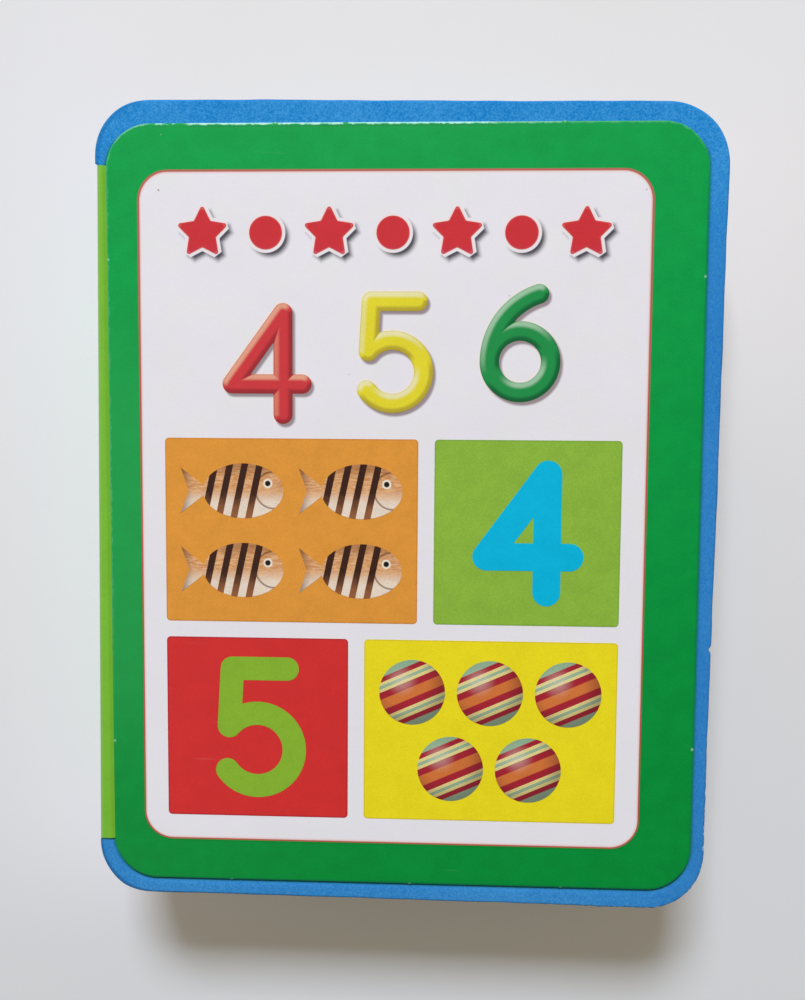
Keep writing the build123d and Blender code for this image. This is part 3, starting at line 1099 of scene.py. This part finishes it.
def plain_ink(n, colour):
    """One flat printed colour."""
    return colour


def tile(n, x, y, width, colour, edge):
    """One flat tile of the print, a little deeper in colour along its edge."""
    gap = from_box(n, print_place(n, field_x + x, y), width, tile_height, tile_corner)
    return n.over(colour, (edge, n.fade(gap, -0.4, -0.1, 0, 0.6)))


def fish_body(n):
    """Striped fish, between the stripes: tawny back, pale belly, streaked scales, an eye and a gill line."""
    x, y, z = n.parts(print_place(n, field_x - wide_tile_x, upper_tile_y))
    x = stepped(n, x, fish_pitch_x, fish_pitch_x / 2)
    y = stepped(n, y, fish_pitch_y, fish_pitch_y / 2)
    here = n.joined(x, y)
    streaks = n.noise(n.drawn_out(n.place(), (0.35, 1.6, 1), 0.3), 0.6, 3, 0.6)
    belly = n.plus(y, n.fade(streaks, 0.3, 0.7, -0.7, 0.7))
    gill = n.apart(n.measure("DISTANCE", here, (9.6, 0.2, 0)), 4.2)
    eye = n.measure("DISTANCE", here, (8.2, 1.7, 0))
    return n.over(
        paint(206, 142, 88),
        (paint(232, 184, 138), n.fade(streaks, 0.35, 0.65)),
        (paint(238, 226, 212), n.fade(belly, 0.6, -3.4, 0, 0.9)),
        (paint(150, 92, 50), n.fade(y, 2.6, 5.6, 0, 0.6)),
        (paint(120, 72, 44), n.fade(x, -fish_length * 0.36, -fish_length * 0.5, 0, 0.7)),
        (paint(110, 62, 36), n.fade(gill, 0.32, 0.08), 0.7),
        (paint(240, 232, 214), n.fade(eye, 1.15, 0.95)),
        (paint(30, 22, 20), n.fade(eye, 0.72, 0.55)),
    )


def fish_stripes(n):
    """The fish's dark bars, browner where they run out at the belly."""
    x, y, z = n.parts(print_place(n, field_x - wide_tile_x, upper_tile_y))
    y = stepped(n, y, fish_pitch_y, fish_pitch_y / 2)
    belly = n.plus(y, n.fade(n.noise(n.place(), 1.4), 0.3, 0.7, -0.5, 0.5))
    return n.mix(n.fade(belly, 0, -6), paint(58, 32, 22), paint(150, 96, 62))


def knitted_ball(n, draw):
    """The balls' print: what draw gives for the distance from the belt's middle, with a knit and roundness.

    The lower row's balls stand half a pitch aside. A ball is paler towards the head's left and darker away
    from it, and its bands and knit are tilted.
    """
    x, y, z = n.parts(print_place(n, field_x + wide_tile_x, lower_tile_y))
    x = stepped(n, x, ball_pitch, n.times(n.math("LESS_THAN", y, 0), ball_pitch / 2))
    y = stepped(n, y, ball_pitch, ball_pitch / 2)
    here = n.joined(x, y)
    across, along, z = n.parts(n.seen_from(here, (0, 0), ball_tilt))
    stitches = n.size(n.math("SINE", n.times(across, pi / knit_width)))
    courses = n.size(n.math("SINE", n.times(along, pi / knit_height)))
    weave = n.times(n.plus(stitches, courses), 0.5)
    return n.over(
        draw(n, n.size(along)),
        (paint(60, 30, 34), n.fade(weave, 0.75, 0.2, 0, 0.16)),
        (paint(70, 26, 36), n.fade(n.measure("DISTANCE", here, (-1.6, 1.8, 0)), 4.5, 9.6, 0, 0.5)),
        (paint(250, 236, 226), n.fade(n.measure("DISTANCE", here, (-2.4, 2.7, 0)), 4.2, 0.4, 0, 0.28)),
    )


def ball_colours(n, from_belt):
    """The balls between their light bands: crimson, with an orange belt and sage caps."""
    return n.over(
        paint(172, 40, 56),
        (paint(218, 122, 62), n.fade(from_belt, 1.25, 1.1)),
        (paint(150, 186, 156), n.fade(from_belt, 5.85, 6)),
    )


def band_colours(n, from_belt):
    """The balls' light bands: cream, with a sage line along their middle."""
    line = n.fade(n.apart(from_belt, ball_radius / 2), 0.42, 0.3)
    return n.mix(line, paint(236, 222, 148), paint(156, 190, 160))


def floor_material():
    """A plain pale table top with the faintest unevenness, and painted light: brighter beside the book, a
    little darker and bluer towards the foot, and less blue past the head.
    """
    made, n, shader = material("pale table", Roughness=0.6, Specular_IOR_Level=0.2)
    x, y, z = n.parts(n.place())
    painted_light_left = n.times(n.fade(x, 0, -70), n.fade(x, -150, -72))
    painted_light_right = n.times(n.fade(x, 0, 70), n.fade(x, 150, 72))
    colour = n.over(
        paint(228, 229, 233),
        (paint(230, 231, 235), n.fade(n.noise(n.place(), 60), 0.3, 0.7)),
        # Painted light and shade: bluer and a little darker towards the foot, brighter beside the book, less
        # blue past the head
        (paint(225, 229, 236), n.fade(y, -20, -110)),
        (paint(243, 243, 254), painted_light_left, n.fade(y, -130, -80), n.fade(y, 150, 40)),
        (paint(239, 237, 239), painted_light_right, n.fade(y, -10, 60), n.fade(y, 140, 75)),
        (paint(229, 228, 229), n.fade(y, 88, 100), n.fade(n.size(x), 100, 40)),
    )
    n.feed(shader["Base Color"], colour)
    return made


def put_floor():
    """A pale table top, wide enough for every view."""
    mesh = bpy.data.meshes.new("table_top")
    reach = 3
    level = -0.05 * MM
    corners = [(-reach, -reach, level), (reach, -reach, level), (reach, reach, level), (-reach, reach, level)]
    mesh.from_pydata(corners, [], [(0, 1, 2, 3)])
    mesh.materials.append(floor_material())
    floor = bpy.data.objects.new("table_top", mesh)
    bpy.context.collection.objects.link(floor)


# The book


def put_piece(name, parts, materials, node, body):
    """Adds a piece that replaces a node and rides a body."""
    piece = add_piece(name, parts, materials)
    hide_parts(node)
    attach(piece, body)


def make_book():
    """Every piece of the book that isn't print."""
    blues = (paint(18, 117, 197), paint(78, 162, 228), paint(16, 82, 148))
    worn_blue_with_painted_light = foam_material("worn blue foam with painted light", *blues, worn=True)
    blue = foam_material("blue foam", *blues)
    white = foam_material("white foam", paint(216, 215, 210), paint(231, 230, 226), paint(176, 174, 168))
    worn_skin_with_painted_light = printed("worn green laminate with painted light", worn_green_with_painted_light)
    green_skin = printed("green laminate", border_green)
    inner_skin = printed("bordered laminate", bordered)
    lime = printed("lime laminate", lime_strip)
    edge = card_edge_material()
    top_z = book_thickness - panel_thickness

    front = foam_net(front_joint_z + panel_thickness, front_columns, 0.12, 0.05)
    front = press_in(grooved(front, top_z), top_z, 1)
    put_piece("front_foam_leaf", [faced(front)], [worn_blue_with_painted_light], "front_cover_foam", "front_cover")
    back = press_in(foam_net(panel_thickness, back_columns, -0.24), panel_thickness, -1)
    put_piece("back_foam_leaf", [faced(back)], [blue], "back_cover_foam", "back_cover")

    centre = (front_panel_x, front_panel_y)
    card = faced(card_net(top_z, panel_thickness, front_columns, centre, front_panel_turn, nicks), 1)
    put_piece("front_panel", [card], [worn_skin_with_painted_light, edge], "front_cover_panel", "front_cover")
    inner_z = back_joint_z - panel_thickness
    for name, node, body, bottom_z, skin, slot in (
        ("front_inner_panel", "front_inside_panel", "front_cover", front_joint_z, inner_skin, "white_card"),
        ("back_inner_panel", "back_inside_panel", "back_cover", inner_z, inner_skin, "white_card"),
        ("back_panel", "back_cover_panel", "back_cover", 0, green_skin, "green_card"),
    ):
        card = faced(card_net(bottom_z, panel_thickness, inner_columns), 1)
        put_piece(name, [card], [skin, edge], node, body)

    sheets = []
    for leaf, (wander, fore_shift) in enumerate(inner_leaves):
        net = foam_net(back_joint_z + leaf * leaf_pitch + panel_thickness, inner_columns, wander)
        net[:, :, 0] += fore_shift * smooth(net[:, :, 0], -60, 0)
        sheets.append(faced(net))
    put_piece("page_foam", sheets, [white], "page_block", "pages")

    cards = []
    for level, (shift_x, shift_y) in enumerate(page_card_shifts):
        bottom_z = back_joint_z + level * leaf_pitch - (0 if level == 0 else panel_thickness)
        thickness = panel_thickness * (1 if level in (0, len(inner_leaves)) else 2)
        centre = (leaf_centre_x + shift_x, shift_y)
        cards.append(faced(card_net(bottom_z, thickness, inner_columns, centre), 1))
    put_piece("page_cards", cards, [inner_skin, edge], "page_block", "pages")

    for name, node, up, cover, joint_z in (
        ("front_fold_strip", "front_spine_strip", 1, "front_cover", front_joint_z),
        ("back_fold_strip", "back_spine_strip", -1, "back_cover", back_joint_z),
    ):
        piece = add_piece(name, [faced(strip_net(up))], [lime])
        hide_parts(node, "spine_strip")
        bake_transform(piece)


def finish_print():
    """Gives each printed field its ink."""
    inks = {
        "white_field": printed("white print", white_field, specks=1),
        "red_keyline": printed("keyline print", keyline),
        "red_marks": printed("mark print", mark_row, grain=0.06),
        "blue_numeral": printed("cyan print", plain_ink, paint(4, 186, 230), grain=0.07),
        "lime_numeral": printed("lime numeral print", plain_ink, paint(137, 184, 52), grain=0.09),
        "fish": printed("fish print", fish_body, grain=0.10),
        "fish_stripes": printed("stripe print", fish_stripes, grain=0.12),
        "balls": printed("ball print", knitted_ball, ball_colours, grain=0.08),
        "ball_bands": printed("band print", knitted_ball, band_colours, grain=0.08),
    }
    for colour, step, body, pale, deep in (
        ("red", -1, paint(208, 60, 66), paint(238, 180, 152), paint(150, 44, 52)),
        ("yellow", 0, paint(230, 219, 52), paint(240, 236, 196), paint(178, 160, 52)),
        ("green", 1, paint(34, 146, 76), paint(176, 214, 184), paint(16, 92, 52)),
    ):
        ink = printed(colour + " numeral print", puffed_numeral, step, body, pale, deep, grain=0.05)
        inks[colour + "_numeral"] = ink
    for colour, x, y, width, body, edge, grain in (
        ("orange", -wide_tile_x, upper_tile_y, wide_tile, paint(227, 154, 62), paint(200, 124, 56), 0.10),
        ("lime", narrow_tile_x, upper_tile_y, narrow_tile, paint(142, 186, 66), paint(112, 158, 60), 0.12),
        ("red", -narrow_tile_x, lower_tile_y, narrow_tile, paint(214, 50, 51), paint(152, 34, 60), 0.07),
        ("yellow", wide_tile_x, lower_tile_y, wide_tile, paint(240, 225, 34), paint(210, 187, 44), 0.07),
    ):
        inks[colour + "_tile"] = printed(colour + " print", tile, x, y, width, body, edge, grain=grain)
    for name, ink in inks.items():
        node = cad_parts["print_" + name]
        node.data.materials.clear()
        node.data.materials.append(ink)


put_camera()
put_window_light()
put_surroundings()
put_floor()
make_book()
finish_print()

scene = bpy.context.scene
scene.view_settings.view_transform = "Standard"
